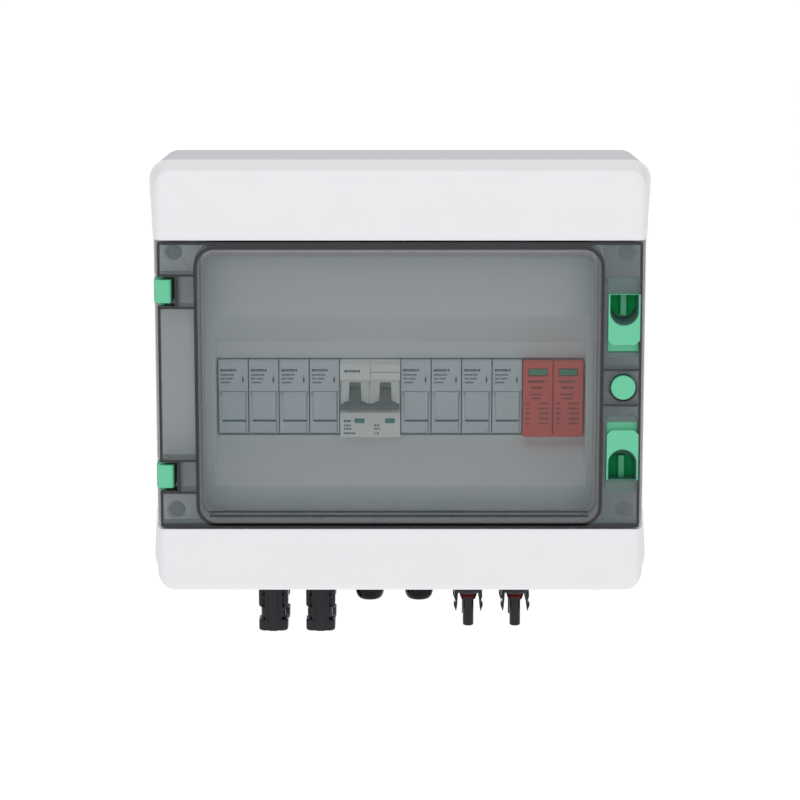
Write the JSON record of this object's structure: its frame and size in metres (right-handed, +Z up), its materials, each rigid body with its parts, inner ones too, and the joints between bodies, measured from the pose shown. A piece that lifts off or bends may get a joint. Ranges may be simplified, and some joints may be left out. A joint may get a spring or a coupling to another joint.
{
  "type": "dc combiner box",
  "caption": "Wall box with a hinged clear door that combines solar strings through fuses, a breaker and a surge arrester.",
  "frame": {"origin": "middle of the flat back face, where the box meets the wall, halfway up the shells", "axes": "+X to the right as seen from the front, +Y into the wall, +Z up; the door faces -Y"},
  "size_m": [0.296, 0.1384, 0.291],
  "materials": {
    "enclosure_white": "fine moulded texture, light grey-white ABS",
    "seal_rubber": "foamed seal cord",
    "door_smoked": "clear smoked polycarbonate, polished",
    "latch_green": "satin moulded green plastic",
    "spring_steel": "drawn spring wire",
    "zinc_steel": "bright zinc plating",
    "module_grey": "satin light grey thermoplastic",
    "fuse_ceramic": "glazed ceramic tube with plated caps",
    "breaker_grey": "satin warm grey thermoplastic",
    "lever_dark": "satin dark plastic",
    "arrester_red": "satin red thermoplastic",
    "connector_black": "satin black polyamide",
    "vent_grey": "satin grey polyamide",
    "copper": "plain copper bar",
    "lead_red": "red cable jacket",
    "lead_black": "black cable jacket"
  },
  "bodies": {
    "enclosure": {"base_box": "enclosure_white", "front_cover": "enclosure_white", "cover_gasket": "seal_rubber", "door_gasket": "seal_rubber", "hinge_clip_upper": "latch_green", "hinge_clip_lower": "latch_green", "cover_screw_1": "zinc_steel", "cover_screw_2": "zinc_steel", "cover_screw_3": "zinc_steel", "cover_screw_4": "zinc_steel", "din_rail": "zinc_steel", "rail_screw_left": "zinc_steel", "rail_screw_right": "zinc_steel", "fuse_bank_positive": "module_grey", "fuse_bank_negative": "module_grey", "spd_base": "module_grey", "mcb_body": "breaker_grey", "string_socket_1": "connector_black", "string_socket_2": "connector_black", "string_socket_3": "connector_black", "string_socket_4": "connector_black", "string_plug_1": "connector_black", "string_plug_2": "connector_black", "string_plug_3": "connector_black", "string_plug_4": "connector_black", "gland_body_left": "connector_black", "gland_body_right": "connector_black", "vent_plug": "vent_grey", "comb_positive": "copper", "comb_negative": "copper", "harness_positive": "lead_red", "spd_jumper": "lead_red", "harness_negative": "lead_black"},
    "door": {"door": "door_smoked", "latch_spring_upper": "spring_steel", "latch_spring_lower": "spring_steel", "lock_plug": "latch_green"},
    "latch_upper": {"latch_upper": "latch_green"},
    "latch_lower": {"latch_lower": "latch_green"},
    "mcb_handle": {"mcb_handle": "lever_dark"},
    "spd_cartridge_left": {"spd_cartridge_left": "arrester_red"},
    "spd_cartridge_right": {"spd_cartridge_right": "arrester_red"},
    "gland_nut_left": {"gland_nut_left": "connector_black"},
    "gland_nut_right": {"gland_nut_right": "connector_black"},
    "fuse_carrier_1": {"fuse_carrier_1": "module_grey", "fuse_link_1": "fuse_ceramic"},
    "fuse_carrier_2": {"fuse_carrier_2": "module_grey", "fuse_link_2": "fuse_ceramic"},
    "fuse_carrier_3": {"fuse_carrier_3": "module_grey", "fuse_link_3": "fuse_ceramic"},
    "fuse_carrier_4": {"fuse_carrier_4": "module_grey", "fuse_link_4": "fuse_ceramic"},
    "fuse_carrier_5": {"fuse_carrier_5": "module_grey", "fuse_link_5": "fuse_ceramic"},
    "fuse_carrier_6": {"fuse_carrier_6": "module_grey", "fuse_link_6": "fuse_ceramic"},
    "fuse_carrier_7": {"fuse_carrier_7": "module_grey", "fuse_link_7": "fuse_ceramic"},
    "fuse_carrier_8": {"fuse_carrier_8": "module_grey", "fuse_link_8": "fuse_ceramic"}
  },
  "joints": [
    {"name": "door_hinge", "type": "hinge", "parent": "enclosure", "child": "door", "pos_m": [-0.1375, -0.13, 0], "axis": [0, 0, -1], "range_deg": [0, 120]},
    {"name": "latch_upper_slide", "type": "slide", "parent": "door", "child": "latch_upper", "axis": [0, 0, -1], "range_m": [0, 0.0038], "stiffness_N_per_m": 300, "springref_m": -0.004, "deforming": ["latch_spring_upper"]},
    {"name": "latch_lower_slide", "type": "slide", "parent": "door", "child": "latch_lower", "axis": [0, 0, 1], "range_m": [0, 0.0038], "stiffness_N_per_m": 300, "springref_m": -0.004, "deforming": ["latch_spring_lower"]},
    {"name": "mcb_lever", "type": "hinge", "parent": "enclosure", "child": "mcb_handle", "pos_m": [-0.0176, -0.097, -0.0129], "axis": [-1, 0, 0], "range_deg": [0, 65]},
    {"name": "fuse_carrier_1_tilt", "type": "hinge", "parent": "enclosure", "child": "fuse_carrier_1", "pos_m": [-0.0986, -0.099, -0.0353], "axis": [1, 0, 0], "range_deg": [0, 45]},
    {"name": "fuse_carrier_2_tilt", "type": "hinge", "parent": "enclosure", "child": "fuse_carrier_2", "pos_m": [-0.0806, -0.099, -0.0353], "axis": [1, 0, 0], "range_deg": [0, 45]},
    {"name": "fuse_carrier_3_tilt", "type": "hinge", "parent": "enclosure", "child": "fuse_carrier_3", "pos_m": [-0.0626, -0.099, -0.0353], "axis": [1, 0, 0], "range_deg": [0, 45]},
    {"name": "fuse_carrier_4_tilt", "type": "hinge", "parent": "enclosure", "child": "fuse_carrier_4", "pos_m": [-0.0446, -0.099, -0.0353], "axis": [1, 0, 0], "range_deg": [0, 45]},
    {"name": "fuse_carrier_5_tilt", "type": "hinge", "parent": "enclosure", "child": "fuse_carrier_5", "pos_m": [0.0094, -0.099, -0.0353], "axis": [1, 0, 0], "range_deg": [0, 45]},
    {"name": "fuse_carrier_6_tilt", "type": "hinge", "parent": "enclosure", "child": "fuse_carrier_6", "pos_m": [0.0274, -0.099, -0.0353], "axis": [1, 0, 0], "range_deg": [0, 45]},
    {"name": "fuse_carrier_7_tilt", "type": "hinge", "parent": "enclosure", "child": "fuse_carrier_7", "pos_m": [0.0454, -0.099, -0.0353], "axis": [1, 0, 0], "range_deg": [0, 45]},
    {"name": "fuse_carrier_8_tilt", "type": "hinge", "parent": "enclosure", "child": "fuse_carrier_8", "pos_m": [0.0634, -0.099, -0.0353], "axis": [1, 0, 0], "range_deg": [0, 45]},
    {"name": "spd_cartridge_left_slide", "type": "slide", "parent": "enclosure", "child": "spd_cartridge_left", "axis": [0, -1, 0], "range_m": [0, 0.025]},
    {"name": "spd_cartridge_right_slide", "type": "slide", "parent": "enclosure", "child": "spd_cartridge_right", "axis": [0, -1, 0], "range_m": [0, 0.025]},
    {"name": "gland_nut_left_turn", "type": "hinge", "parent": "enclosure", "child": "gland_nut_left", "pos_m": [-0.0184, -0.064, -0.138], "axis": [0, 0, 1], "continuous": true},
    {"name": "gland_nut_right_turn", "type": "hinge", "parent": "enclosure", "child": "gland_nut_right", "pos_m": [0.0116, -0.064, -0.138], "axis": [0, 0, 1], "continuous": true}
  ]
}
